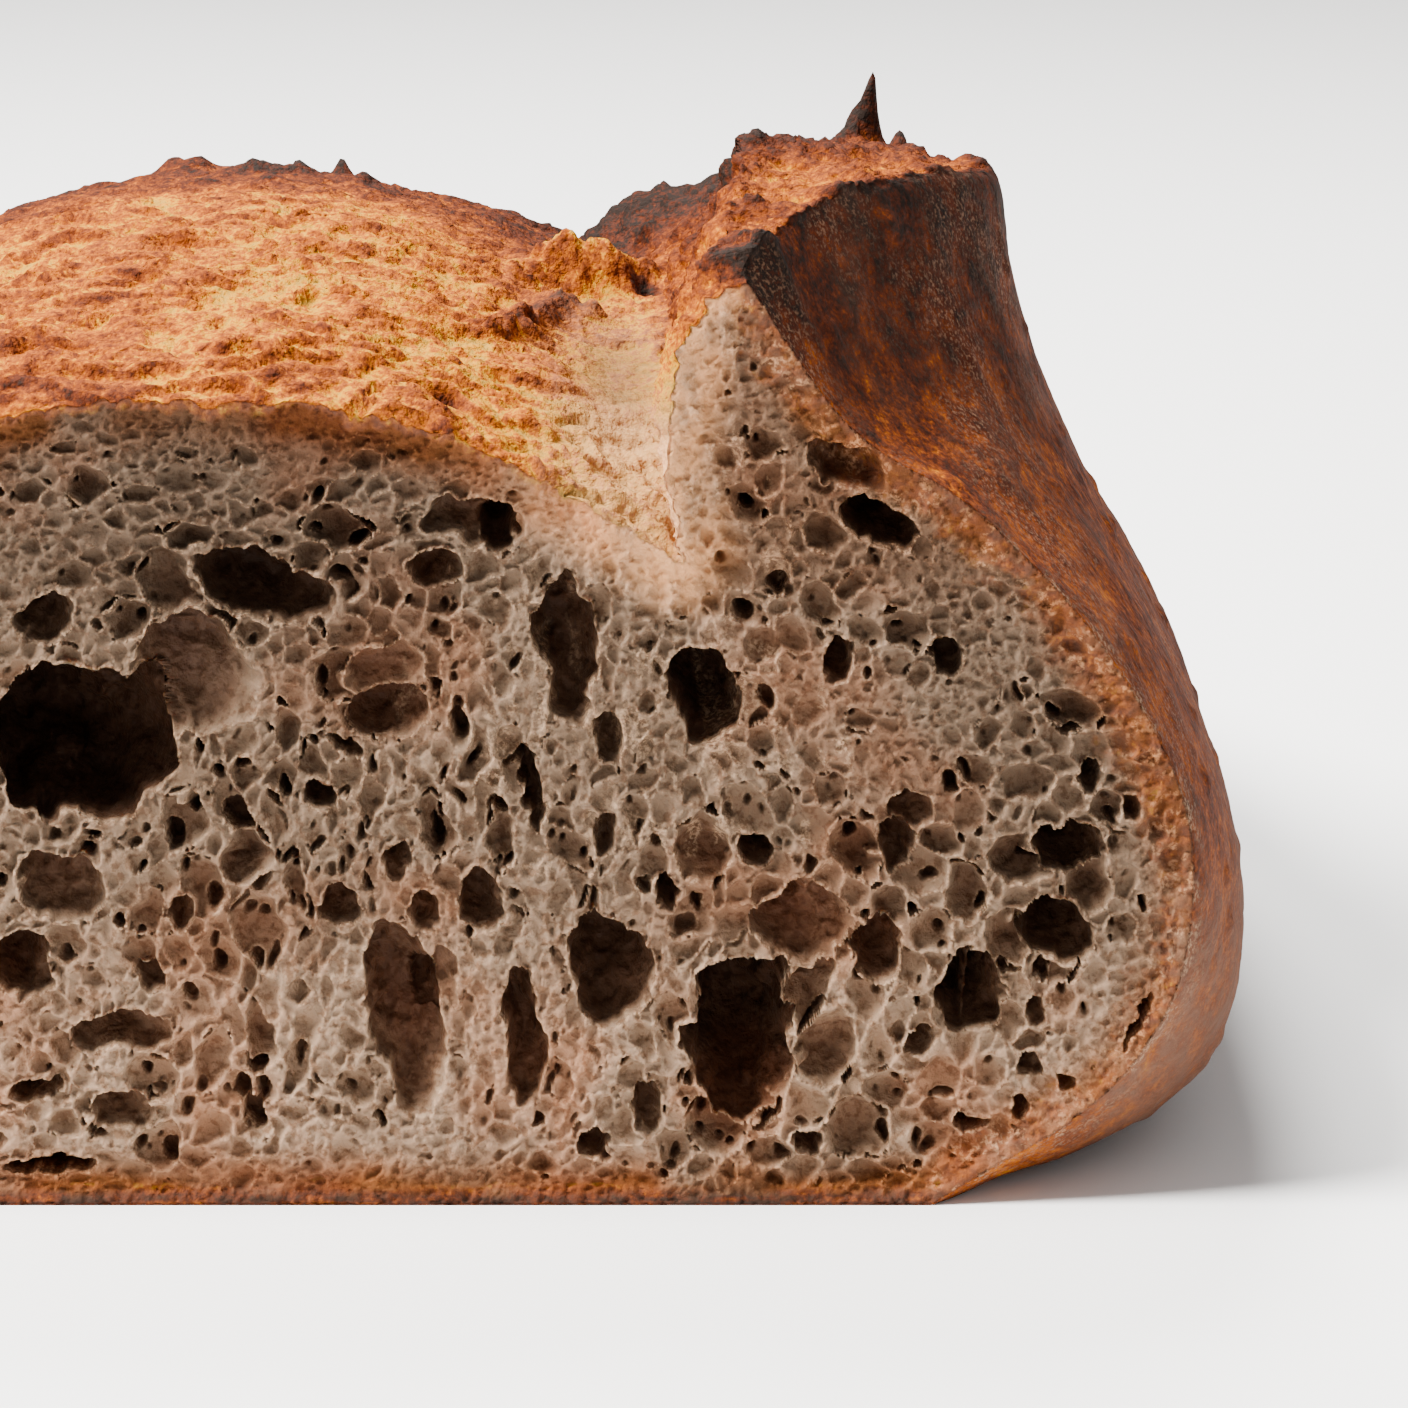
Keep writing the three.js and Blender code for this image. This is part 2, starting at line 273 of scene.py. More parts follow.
def outline(y):
    """The loaf's section at a distance from the cut, from the base's left end round to it again."""
    shares = shares_at(y)
    left, right = body_point(BASE_LEFT, shares), body_point(BASE_RIGHT, shares, True)
    edge = body_point(BLOOM_EDGE, shares)
    right_side = [body_point(pair, shares, True) for pair in zip(*RIGHT_SIDE)]
    left_side = [body_point(pair, shares) for pair in zip(*LEFT_SIDE)]
    bloom = [body_point(pair, shares) for pair in zip(*BLOOM)]
    shoulder, flank, lip, ridge, wall, notch = (ear_point(name, y, shares) for name in EAR)
    return np.vstack([
        smooth([left, right], STEPS["base"]),
        smooth([right, *right_side, shoulder, flank, lip], STEPS["side"]),
        smooth([lip, ridge], STEPS["top"]),
        smooth([ridge, wall, notch], STEPS["wall"]),
        smooth([notch, *bloom, edge], STEPS["bloom"]),
        smooth([edge, *left_side, left], STEPS["left"]),
    ])


def rounded(ring, start, end, passes):
    """The ring with a stretch of its points drawn towards their neighbours, so a sharp fold turns blunt."""
    share = between(start, end, 0.25)[:, None] * 0.5
    for _ in range(passes):
        middle = (np.roll(ring, 1, 0) + np.roll(ring, -1, 0)) / 2
        ring = ring + (middle - ring) * share
    return ring


def ring_places():
    """Distances of the rings from the cut: close together where the photograph looks, wider at the back."""
    y = np.linspace(0, LENGTH, 8001)
    width = np.array([80 * shares_at(v)[2] for v in y])
    arc = np.hypot(np.diff(y), np.diff(width))
    middle = (y[1:] + y[:-1]) / 2
    spacing = mix(0.45, 1.25, ease(middle, 55, 125))
    count = np.concatenate([[0], np.cumsum(arc / spacing)])
    return np.interp(np.arange(0, int(count[-1])), count, y)


ring_y = ring_places()
RINGS = len(ring_y)
loft = np.zeros((RINGS, AROUND, 3))
for n, y in enumerate(ring_y):
    section = rounded(outline(y), 9.75, 10.3, int(14 + 50 * ease(y, 8, 40)))
    loft[n, :, 0], loft[n, :, 1], loft[n, :, 2] = section[:, 0], y, section[:, 1]


def normals_of(grid):
    """Unit normals of a grid of rings, pointing out of the loaf."""
    around = np.roll(grid, -1, 1) - np.roll(grid, 1, 1)
    down = np.gradient(grid, axis=0)
    n = np.cross(around, down)
    n /= np.maximum(np.linalg.norm(n, axis=2, keepdims=True), 1e-9)
    centre = np.array([0, 90, 40.0])
    if ((grid - centre) * n).sum() < 0:
        n = -n
    return n


normal = normals_of(loft)
flat = loft.reshape(-1, 3)
side_x, yy, height = flat.T
score = fade(yy, 125, 152)


def in_ring(values):
    """Values of one ring, for the points of every ring."""
    return np.tile(values, RINGS)


def hill(values, middle, width):
    """The exponent of a bell round a middle value: products of bells are the exp of the sums."""
    return -((values - middle) / width) ** 2


# Masks: 1 on a part of the crust, 0 elsewhere.
m_bloom = in_ring(between(AT["notch"], AT["edge"], 0.35)) * score
m_wall = in_ring(between(AT["ridge"], AT["notch"], 0.12)) * score
m_top = in_ring(between(AT["lip"], AT["ridge"], 0.08)) * score
m_ear = in_ring(between(AT["shoulder"], AT["lip"], 0.3)) * score
m_base = in_ring(along_base(0.1)) * fade(height, 0.3, 2.5)
m_left = in_ring(between(AT["edge"], AT["left"], 0.3))
m_skin = unit(1 - m_bloom - m_wall - m_top - m_base)

# ---- relief of the crust ----

coarse = noise(flat, 14, 3, 2)
lumps = noise(flat, 5.0, 5, 2)
fine = noise(flat, 1.6, 7, 2)
bent = (flat + 3.0 * np.stack([noise(flat, 9, seed) for seed in (11, 12, 13)], 1)
        + 0.8 * np.stack([noise(flat, 2.6, seed) for seed in (14, 15, 16)], 1))


def flakes(size, seed):
    """Torn flakes that overlap like shingles: each has its own height and stands up at its front edge."""
    first, second, mark, way = grains(bent, size, seed)
    edge = ease(second - first, 0.0, 0.28)
    return ((mark - 0.5) * 0.8 + 0.9 * way[:, 1] + 0.35 * (mark - 0.5) * way[:, 0]) * edge, edge


big_flake, big_edge = flakes((8.0, 3.2, 8.0), 21)
small_flake, small_edge = flakes((3.6, 1.5, 3.6), 31)
tiny_flake, _ = flakes((2.0, 0.95, 2.0), 71)
streak = noise(bent * np.array([0.7, 2.4, 1.2]), 4.0, 35, 2)
crumb_first, crumb_second, crumb_mark, _ = grains(flat * np.array([1, 0.6, 1]) + 0.3 * fine[:, None], 1.5, 31)
crumbly = (crumb_mark - 0.5) * ease(crumb_second - crumb_first, 0.02, 0.25)
blister_first, _, blister_mark, _ = grains(flat, 4.5, 41)
blister = ease(1 - blister_first * 2.2, 0, 1) * (blister_mark > 0.72)

torn = (0.6 * coarse + 0.35 * lumps + 0.12 * fine
        + (1.1 * big_flake + 0.8 * small_flake + 0.4 * tiny_flake) * mix(1, 0.55, ease(yy, 40, 75)))
skin = 0.3 * coarse + 0.12 * lumps + 0.06 * fine
ragged = 0.8 * lumps + 0.7 * small_flake + 0.6 * crumbly + 0.25 * fine
wallish = 1.1 * lumps + 0.7 * small_flake + 0.6 * crumbly + 0.3 * fine

# A pale hollow beside the score, with the torn edge of the bloom folded up left of it.
pale_hollow = np.exp(hill(side_x, 18.5, 5.5) + hill(yy, 30, 13)) * m_bloom
along_fold = unit((yy - 26) / 20)
past_fold = np.clip(np.abs(yy - 36) - 9, 0, 9)
fold = np.exp(hill(side_x, 5.5 + 7.5 * along_fold, 1.5) + hill(past_fold, 0, 2.5)) * m_bloom

# The relief fades towards the cut's outline, so that the knife's edge stays clean.
front_fade = 0.35 + 0.45 * m_bloom + 0.2 * m_wall
front_fade += (1 - front_fade) * ease(yy, 0, 2.5)
push = (m_bloom * torn * (1 - 0.8 * pale_hollow) + m_skin * (skin + 0.4 * blister) + m_top * ragged * 1.3
        + m_wall * wallish) * front_fade * (1 - m_base)
push += 1.5 * fold * (1 + 0.4 * fine) - 1.3 * pale_hollow
push -= 0.4 * fade(yy, 0, 1.3) * unit(m_bloom + m_wall)
push += 0.45 * m_wall * (crumbly + 0.5 * fine) * fade(yy, 0, 2)
push *= 1 - ease(yy, 170, 185) * 0.6

# Bumps that the relief alone does not give: distance, x, z, radius, height, lean in x, and baked darkness.
BUMPS = [
    (80, 43.1, 88.5, 1.15, 5.2, 0.15, 0.5), (80, 42.5, 88.5, 3.4, 0.7, 0, 0.1),
    (87, 47, 86, 1.2, 3.2, 0.1, 0.4), (41, 31, 93, 2.6, 1.5, -0.3, 0.4), (45, 35, 93, 3.2, 1.1, 0.2, 0.3),
    (38, 29, 92, 1.8, 1, -0.6, 0.4), (56, 12.2, 79.5, 2.9, 5, 0, -0.02), (56, 16.6, 79, 2.9, 4.6, 0, -0.04),
    (58, 20.5, 79.5, 2.4, 2.6, 0, 0.05), (53, 8, 80, 2.6, 1.6, 0, 0.14), (55, 20.6, 80, 1.5, -1.5, 0, 0.6),
    (44, 15.5, 78.5, 2, 1.4, 0, 0.15), (8, 3, 75.5, 1.3, -2, 0, 0.55), (88, -28, 83.5, 3.6, 1.7, 0, 0.1),
    (86, -21, 84, 2.6, 1.2, 0, 0.26), (87, -16.5, 84, 2, 1.3, 0, 0.3), (88, -12, 84, 1, 1.8, 0, 0.32),
    (84, -9, 84, 2.6, 0.9, 0, 0.25), (78, -18.5, 84.5, 1.8, 0.8, 0, 0.35),
    (74, -25, 84.5, 2.2, 0.7, 0, 0.3), (70, -12, 84.5, 2.4, 0.6, 0, 0.25), (1.5, 30, 87, 2, 0.9, -0.7, 0.4),
    (4.5, 33, 90, 1.9, 0.9, 0, 0.35), (4, 27.4, 86, 1.7, 1.1, -0.9, 0.35),
]

moved = flat + normal.reshape(-1, 3) * push[:, None]
darker = np.zeros(len(flat))
for y0, x0, z0, radius, rise, lean, dark in BUMPS:
    d2 = ((side_x - x0) ** 2 + (yy - y0) ** 2) / radius**2 + ((height - z0) / 9.0) ** 2
    bump = np.exp(-d2) * (1 + 0.3 * fine) * ease(yy, 0, 1.2)
    moved[:, 2] += bump * rise
    moved[:, 0] += bump * rise * lean
    darker += unit(bump) * dark

# The ends stay true: the first ring in the plane of the cut, and the base flat on the table.
moved[:AROUND, 1] = 0
moved[:, 2] = np.where(height < 0.02, 0, np.maximum(moved[:, 2], 0))
crust = moved.reshape(RINGS, AROUND, 3)
tip = np.array([0.0, LENGTH, WAIST])

# ---- how far each part of the crust is baked, and the flour on it ----

# Painted shade: steep flake fronts that face the cut, which the light reaches less, are baked darker.
painted_front_shade = ease(-normals_of(crust)[:, :, 1].ravel(), 0.35, 0.8)
mottle = 0.09 * fine + 0.07 * noise(flat * np.array([1, 1, 0.6]), 2.6, 53, 2)
bake_skin = 0.62 + 0.05 * coarse + 0.05 * lumps - 0.1 * fade(height, 4, 40) + mottle
bake_ear = (0.585 + 0.2 * ease(height, 64, 90) + 0.05 * lumps + 0.09 * ease(yy, 4, 30)
            + 1.3 * mottle)
bake_bloom = (0.1 + 0.16 * coarse + 0.08 * lumps + 0.2 * np.clip(big_flake, -0.5, 0.8)
              + 0.2 * np.clip(small_flake, -0.5, 0.8) + 0.12 * np.clip(tiny_flake, -0.5, 0.8)
              + 0.14 * (1 - small_edge) + 0.14 * (1 - big_edge) + 0.2 * painted_front_shade + 0.15 * streak)
bake_bloom = np.where(bake_bloom < 0.25, bake_bloom, 0.25 + 0.7 * (bake_bloom - 0.25))
bake_bloom += 0.4 * ease(yy, 50, 85) + 0.2 * ease(yy, 92, 115)
bake_bloom += 0.07 * fade(side_x, -42, -10)
bake_bloom += 0.12 * ease(side_x, -4, 10) * ease(yy, 22, 40)
bake_bloom += 0.12 * fade(yy, 2, 12) * fade(side_x, -5, 14)
bake_wall = (0.12 + 0.16 * np.clip(ragged, -1, 1) + 0.35 * ease(yy, 12, 40)
             + 0.4 * ease(yy, 62, 92) + 0.22 * ease(height, 78, 86))
bake_top = 0.52 + 0.3 * np.clip(ragged, -1, 1)
near_lip = np.exp(hill(in_ring(stretch), AT["lip"], 0.1)) * score
knob = np.exp(hill(side_x, 32, 3.5) + hill(yy, 0, 6) + hill(height, 89, 5))
bake = (m_skin * mix(bake_skin, bake_ear, m_ear) + m_bloom * bake_bloom + m_wall * bake_wall
        + m_top * bake_top + m_base * 0.6 + near_lip * 0.2 + darker + 0.35 * knob + 0.3 * fold)
pale = in_ring(between(12.2, 13.9, 0.35)) * fade(yy, 14, 30) * fade(height, 74, 83)
pale_bake = 0.05 + 0.05 * pale_hollow + 0.14 * unit(ragged)
bake = unit(mix(bake, pale_bake, unit(pale * 0.7 + pale_hollow * 0.95)))
flour = unit(m_skin * (0.25 + 0.5 * noise(flat, 9, 51, 2)) + m_left * 0.35 * noise(flat, 22, 52))
dust = m_skin * (0.8 * ease(side_x, 56, 70) * fade(height, 14, 42)
                 + 0.12 * ease(lumps, 0, 1)) * (0.85 + 0.3 * fine)
low_down = fade(height + 2 * lumps, 71, 80)
soft = unit(m_wall * fade(yy, 10, 40) * 0.6 * low_down + pale * 0.5)
torn_skin = unit(m_bloom + m_top + m_wall) * (1 - 0.7 * pale_hollow)

# ======== the cut face

edge_line = crust[0][:, [0, 2]]


def grid_lines(low, high, cuts):
    """Grid lines from low to high, with a spacing for each stretch given as (end, spacing)."""
    lines, at = [low], low
    for end, step in cuts:
        count = max(1, round((min(end, high) - at) / step))
        lines += list(np.linspace(at, min(end, high), count + 1)[1:])
        at = min(end, high)
    return np.array(lines)


GRID = 0.19
xs = grid_lines(edge_line[:, 0].min() - 0.5, edge_line[:, 0].max() + 0.5, [(-39, 0.28), (99, GRID)])
zs = grid_lines(-0.4, edge_line[:, 1].max() + 0.5, [(999, GRID)])
NX, NZ = len(xs), len(zs)
GX, GZ = np.meshgrid(xs, zs)


def inside_and_distance(px, pz, line):
    """Whether each point is inside the closed line, its distance from it, and the line's nearest point."""
    px, pz = px.ravel().astype(np.float32), pz.ravel().astype(np.float32)
    a = line.astype(np.float32)
    b = np.roll(a, -1, 0)
    crossings = np.zeros(len(px), bool)
    best = np.full(len(px), 1e9, np.float32)
    nearest = np.zeros(len(px), np.int32)
    for i in range(len(a)):
        (x0, z0), (x1, z1) = a[i], b[i]
        if z0 != z1:
            rows = (pz > min(z0, z1)) & (pz <= max(z0, z1))
            hit = np.nonzero(rows)[0]
            at = x0 + (pz[hit] - z0) * (x1 - x0) / (z1 - z0)
            crossings[hit] ^= px[hit] < at
        d = (px - x0) ** 2 + (pz - z0) ** 2
        closer = d < best
        best[closer] = d[closer]
        nearest[closer] = i
    return crossings, np.sqrt(best), nearest


inside, distance, nearest = (v.reshape(NZ, NX) for v in inside_and_distance(GX, GZ, edge_line))
place = stretch[nearest]
torn_edge = ease(place, 10.0, 10.9) * fade(place, 13.2, 14.6)

# ---- bubbles of the crumb ----

# The way the bubbles are drawn out, as votes: weight, x and reach in x, z and reach in z, the long axis's
# angle in degrees, and length over width.
ALL = math.inf
DRAWN_OUT = [
    (1, 8, 26, 20, 26, 92, 2.5), (1, 48, 18, 46, 18, -38, 1.55), (1, 62, 8, 22, 18, 75, 1.3),
    (1.4, -15, 30, 70, 8, -3, 1.6), (1.5, 0, ALL, 3, 5, 0, 1.6), (1, -45, 14, 35, 25, 100, 1.3),
    (0.15, 0, ALL, 0, ALL, 90, 1.1),
]

OVERLAP = 0.84  # the least distance of two bubbles' centres, as a share of their radii's sum
# Bubbles by size: how many are tried, the least and largest radius, and how far they keep from the edge.
BUBBLES = ((700, 1.8, 3.0, 4.0), (12000, 1.1, 1.9, 1.8), (70000, 0.45, 1.1, 0.5))


def orientation(x, z):
    """The bubbles' long axis and length over width at a place."""
    c, s, total = 0, 0, 0
    for weight, x0, reach_x, z0, reach_z, degrees, ratio in DRAWN_OUT:
        vote = weight * np.exp(hill(x, x0, reach_x) + hill(z, z0, reach_z))
        c = c + vote * (ratio - 1) * np.cos(2 * np.radians(degrees))
        s = s + vote * (ratio - 1) * np.sin(2 * np.radians(degrees))
        total = total + vote
    return np.arctan2(s, c) / 2, 1 + np.hypot(c, s) / total


def read_grid(values, x, z):
    """A grid's values at scattered places."""
    i = np.clip(np.searchsorted(xs, x) - 1, 0, values.shape[1] - 1)
    j = np.clip(np.searchsorted(zs, z) - 1, 0, values.shape[0] - 1)
    return values[j, i]


def scatter_bubbles():
    """Bubble centres and radii in the slab behind the cut, large ones first, each clear of those before."""
    found = []
    for count, low_r, high_r, margin in BUBBLES:
        x = rng.uniform(xs[0], xs[-1], count)
        z = rng.uniform(0, zs[-1], count)
        r = low_r + (high_r - low_r) * rng.uniform(0, 1, count) ** 1.3
        ok = read_grid(inside, x, z) & (read_grid(distance, x, z) > margin)
        for hx, hz, a, b, *_ in HOLES:
            ok &= (r < 0.7 * min(a, b)) | (np.hypot(x - hx, z - hz) > r + 0.4)
        found.append(np.stack([x[ok], z[ok], r[ok]], 1))
    x, z, r = np.vstack(found).T
    y = rng.uniform(-0.75, 1, len(x)) * np.maximum(r, 0.1)
    y = y + rng.uniform(0, 3.2, len(x)) * (rng.uniform(0, 1, len(x)) < 0.6)
    in_cut = np.stack([x, y * 0, z], 1)
    local = 1 + 0.3 * noise(in_cut, 16, 61, 1) + 0.16 * noise(in_cut, 6, 62, 1)
    near_edge = ease(read_grid(distance, x, z), 1.0, 9.0)
    in_ear = ease(z, 60, 72) * ease(x, 20, 28)
    r = np.maximum(r * local * mix(0.5, 1.0, near_edge) * (1 - 0.2 * in_ear), 0.3)
    order = np.argsort(-r)
    x, y, z, r = x[order], y[order], z[order], r[order]
    cell, table, kept = 1.5, {}, []
    for i, bubble in enumerate(zip(x, y, z, r)):
        xi, yi, zi, ri = bubble
        spans = [range(int((v - ri) // cell), int((v + ri) // cell) + 1) for v in (xi, yi, zi)]
        keys = list(product(*spans))
        near = (other for key in keys for other in table.get(key, ()))
        if any((xi - qx) ** 2 + (yi - qy) ** 2 + (zi - qz) ** 2 < (OVERLAP * (ri + qr)) ** 2
               for qx, qy, qz, qr in near):
            continue
        for key in keys:
            table.setdefault(key, []).append(bubble)
        kept.append(i)
    return x[kept], y[kept], z[kept], r[kept]


bx, by, bz, br = scatter_bubbles()
turn, ratio = orientation(bx, bz)
turn = turn + 0.3 * rng.standard_normal(len(bx))
ratio = 1 + (ratio - 1) * rng.uniform(0.3, 1.7, len(bx))
cos_t, sin_t = np.cos(turn), np.sin(turn)
reach = np.clip(br * 1.75 * np.sqrt(ratio) + 0.7, 0, 6)
x_from, x_to = np.searchsorted(xs, bx - reach), np.searchsorted(xs, bx + reach)
z_from, z_to = np.searchsorted(zs, bz - reach), np.searchsorted(zs, bz + reach)
swollen = br * rng.uniform(1.25, 1.6, len(bx))

plane = np.stack([GX.ravel(), np.zeros(GX.size), GZ.ravel()], 1)


def field(size, seed, octaves=1):
    """Noise over the grid of the cut face."""
    return noise(plane, size, seed, octaves).reshape(NZ, NX)


WX = GX + 0.3 * field(1.8, 71, 2) + 0.45 * field(4.5, 72)
WZ = GZ + 0.3 * field(1.8, 75, 2) + 0.45 * field(4.5, 76)


def plane_d2(k, x, z):
    """The squared distance of places in the cut from bubble k, in its own stretched measure."""
    dx, dz = x - bx[k], z - bz[k]
    u = dx * cos_t[k] + dz * sin_t[k]
    v = dz * cos_t[k] - dx * sin_t[k]
    return u * u / ratio[k] + v * v * ratio[k]


def windows():
    """Each bubble with its patch of the grid and its squared distances there."""
    for k in range(len(bx)):
        patch = (slice(z_from[k], z_to[k]), slice(x_from[k], x_to[k]))
        yield k, patch, plane_d2(k, WX[patch], WZ[patch])


def pair_number(a, b, seed):
    """A random number for two bubbles that meet."""
    return lattice(np.minimum(a, b), np.maximum(a, b), a * 0, seed)


# The bubble that each point of the cut lies in is the one with the lowest value.
value = np.full((NZ, NX), 1e3)
owner = np.zeros((NZ, NX), np.int32)
own_d2 = np.full((NZ, NX), 1e3)
for k, patch, d2 in windows():
    b = d2 + by[k] ** 2 - br[k] ** 2
    better = b < value[patch]
    value[patch][better] = b[better]
    own_d2[patch][better] = d2[better]
    owner[patch][better] = k

own_x, own_y, own_z, own_r = bx[owner], by[owner], bz[owner], br[owner]
thick = 0.2 + 0.1 * np.clip(field(7, 81, 2), -1, 1) + 0.06 * field(1.2, 82)
thick *= mix(0.4, 1.0, ease(distance, 1.0, 9.0))
rise_of_bowl = 1.05 * np.sqrt(2 * own_r)
bowl = np.full((NZ, NX), 9.0)
leave = np.full((NZ, NX), 9.0)
behind = owner.copy()
for k, patch, d2 in windows():
    b = d2 + by[k] ** 2 - br[k] ** 2
    other = owner[patch] != k
    rise = b - value[patch]
    dy = by[k] - own_y[patch]
    apart = np.sqrt((bx[k] - own_x[patch]) ** 2 + dy**2 + (bz[k] - own_z[patch]) ** 2)
    gap = np.maximum(rise / (2 * np.maximum(apart, 0.05)) - thick[patch] / 2, 0)
    sunk = 1.9 * np.maximum(pair_number(owner[patch], k, 5) - 0.6, 0) * np.minimum(own_r[patch], br[k])
    wall = np.where(other, sunk + rise_of_bowl[patch] * gap**0.6, 9.0)
    bowl[patch] = np.minimum(bowl[patch], wall)
    out = np.where(other & (dy > 0.02), rise / (2 * np.maximum(dy, 0.02)), 9.0)
    sooner = out < leave[patch]
    leave[patch][sooner] = out[sooner]
    behind[patch][sooner] = k

# A bubble's own wall, where it isn't cut off by a neighbour.
own_swollen = swollen[owner]
inner = own_swollen**2 - own_d2
dome = own_y + np.sqrt(np.maximum(inner, 0))
side_gap = np.sqrt(np.maximum(own_swollen**2 - own_y**2, 0)) - np.sqrt(own_d2)
dome = np.minimum(dome, rise_of_bowl * np.maximum(side_gap, 0) ** 0.6)
LEAST = 0.02  # millimetres of depth, so that no limit is zero
closed = sum(np.maximum(limit, LEAST) ** -3 for limit in (dome, bowl, leave))
closed = np.maximum(closed ** (-1 / 3) - LEAST, 0)

# A hole in the wall to the bubble behind, where both nearly reach it.
at_wall = np.minimum(leave, dome)
next_d2 = plane_d2(behind, WX, WZ)
open_share = mix(0.7, 1.12, pair_number(owner, behind, 6))
to_next = next_d2 + (at_wall - by[behind]) ** 2
to_own = own_d2 + (at_wall - own_y) ** 2
opened = ((to_own < (1.18 * own_r) ** 2) & (to_next < (open_share * br[behind]) ** 2)
          & (leave < 5) & (behind != owner))
next_depth = by[behind] + np.sqrt(np.maximum((1.1 * br[behind]) ** 2 - next_d2, 0))
margin = unit((open_share * br[behind] - np.sqrt(to_next)) / 0.25)
open_depth = mix(closed, np.minimum(next_depth, closed + 3.5), margin)
depth = np.where(opened, np.maximum(closed, open_depth), closed)
depth *= ease(distance, 0.5, 1.6)

# Small pores in the walls.
pore_first, _, pore_mark, _ = grains(plane + 0.25 * field(0.9, 121).reshape(-1)[:, None], 0.8, 122)
pore = (ease(0.62 - pore_first, 0, 0.4) * (pore_mark > 0.35)).reshape(NZ, NX)
crumbs = ease(0.5 - grains(plane, 0.5, 125)[0], 0, 0.35).reshape(NZ, NX)
depth += fade(depth, 0.0, 0.45) * 0.25 * pore

# ---- the large holes ----

# A hole is deepest off its middle, up and to the left, and its walls are steep.
DEEPEST_TURN = 125
DEEPEST_SHIFT = 0.42
HOLE_DEPTH = 0.62
hole_depth = np.zeros((NZ, NX))
hole_gap = np.full((NZ, NX), 9.0)
hole_of = np.full((NZ, NX), -1, np.int32)
wobble_x, wobble_z = field(4.0, 91, 2), field(4.0, 95, 2)
ragged_x, ragged_z = field(1.1, 93, 2), field(1.1, 94, 2)
for n, (hx, hz, a, b, degrees, deep) in enumerate(HOLES):
    angle = math.radians(degrees)
    small = min(a, b)
    dx = GX - hx + wobble_x * 0.26 * small + 0.32 * ragged_x
    dz = GZ - hz + wobble_z * 0.26 * small + 0.32 * ragged_z
    u = dx * math.cos(angle) + dz * math.sin(angle)
    v = dz * math.cos(angle) - dx * math.sin(angle)
    rho = (np.abs(u / a) ** 2.2 + np.abs(v / b) ** 2.2) ** (1 / 2.2)
    # The share of the way from the deepest place to the hole's edge: 0 there, 1 at the edge.
    turned = math.radians(DEEPEST_TURN - degrees)
    fx, fz = DEEPEST_SHIFT * math.cos(turned), DEEPEST_SHIFT * math.sin(turned)
    bent_rho = rho / np.maximum(np.hypot(u / a, v / b), 1e-6)
    px, pz = u / a * bent_rho - fx, v / b * bent_rho - fz
    aa, bb, cc = px**2 + pz**2, 2 * (px * fx + pz * fz), fx**2 + fz**2 - 1
    t = unit(2 * aa / np.maximum(-bb + np.sqrt(np.maximum(bb**2 - 4 * aa * cc, 0)), 1e-6))
    shape = deep * HOLE_DEPTH * np.maximum(1 - t**2, 0) ** 0.75
    deeper = (rho < 1) & (shape > hole_depth)
    hole_depth[deeper] = shape[deeper]
    hole_of[deeper] = n
    hole_gap = np.minimum(hole_gap, (rho - 1) * small)

# A thin strand of crumb hangs across one hole.
strand = fade(np.abs(GX - 51.3 - 0.12 * (GZ - 20)), 0.08, 0.26) * (np.abs(GZ - 19.5) < 5)
hole_depth = mix(hole_depth, np.minimum(hole_depth, 2.0 + 0.25 * hole_depth), strand)

in_hole = hole_gap < 0
hp = np.stack([GX.ravel(), hole_depth.ravel(), GZ.ravel()], 1)
d1, d2, _, _ = grains(hp, 2.6, 101)
dimple = (0.55 * ease(1 - d1, 0, 1) * ease(d2 - d1, 0, 0.35)).reshape(NZ, NX)
hole_relief = (hole_depth + dimple * ease(hole_depth, 0.8, 3)
               + 0.15 * noise(hp, 1.6, 103).reshape(NZ, NX) * ease(hole_depth, 0.5, 2))
wall_round = np.maximum(0.1 + 0.25 * field(2.2, 97), 0.02)
walled = unit(ease(field(3.0, 98), 0.0, 0.2) + ease(0.6 - depth, 0, 0.3))
depth = mix(depth, np.minimum(depth, 3.0 * np.maximum(hole_gap - wall_round, 0)), walled)
depth = np.where(in_hole, hole_relief, depth)

# The cut isn't quite true: rims stand a little higher or lower, and bits stand up on them.
relief = 0.3 * field(9, 141) + 0.12 * field(3.2, 143)
hollow = depth.copy()
solid = fade(depth, 0.0, 0.6)
fibres = noise(plane / np.array([1, 1, 2.2]), 1.5, 145, 2).reshape(NZ, NX)
relief += 0.3 * fibres * torn_edge * fade(distance, 5, 10)
depth = depth + (0.35 + relief) * ease(distance, 0.3, 2.2)
depth -= solid * (0.06 * crumbs + 0.07 * field(0.7, 112)) * ease(distance, 0.3, 1.2)
depth = np.maximum(depth, 0)

# Large holes widen behind the cut, and some turn aside; their edges fall between the grid's points.
grid_x, grid_z = GX.copy(), GZ.copy()
slope_z, slope_x = np.gradient(hole_gap, zs, xs)
slope = np.maximum(np.hypot(slope_x, slope_z), 0.3)
off_edge = hole_gap / slope
snap = (np.abs(off_edge) < 0.5 * GRID) & inside & (distance > 1.0) & (walled > 0.5)
grid_x[snap] -= (off_edge * slope_x / slope)[snap]
grid_z[snap] -= (off_edge * slope_z / slope)[snap]
rim_depth = np.maximum(0.35 + relief - 0.1 * crumbs, 0)
depth[snap] = rim_depth[snap]
for n, (hx, hz, a, b, _, deep) in enumerate(HOLES):
    shift_x, shift_z = (0, 0) if n else LARGEST_SHIFT
    mine = (hole_of == n) & ~snap
    share = unit(hole_depth[mine] / (deep * HOLE_DEPTH))
    swell = 0.14 * ease(hole_depth[mine], 1.0, 4.0) * (1 - share**2)
    grid_x[mine] += (GX[mine] - hx) * swell + (shift_x - 0.2 * min(a, b)) * share**1.5
    grid_z[mine] += (GZ[mine] - hz) * swell + (shift_z + 0.25 * min(a, b)) * share**1.5
grid_z = np.maximum(grid_z, 0.25)

# ---- which grid squares are kept ----

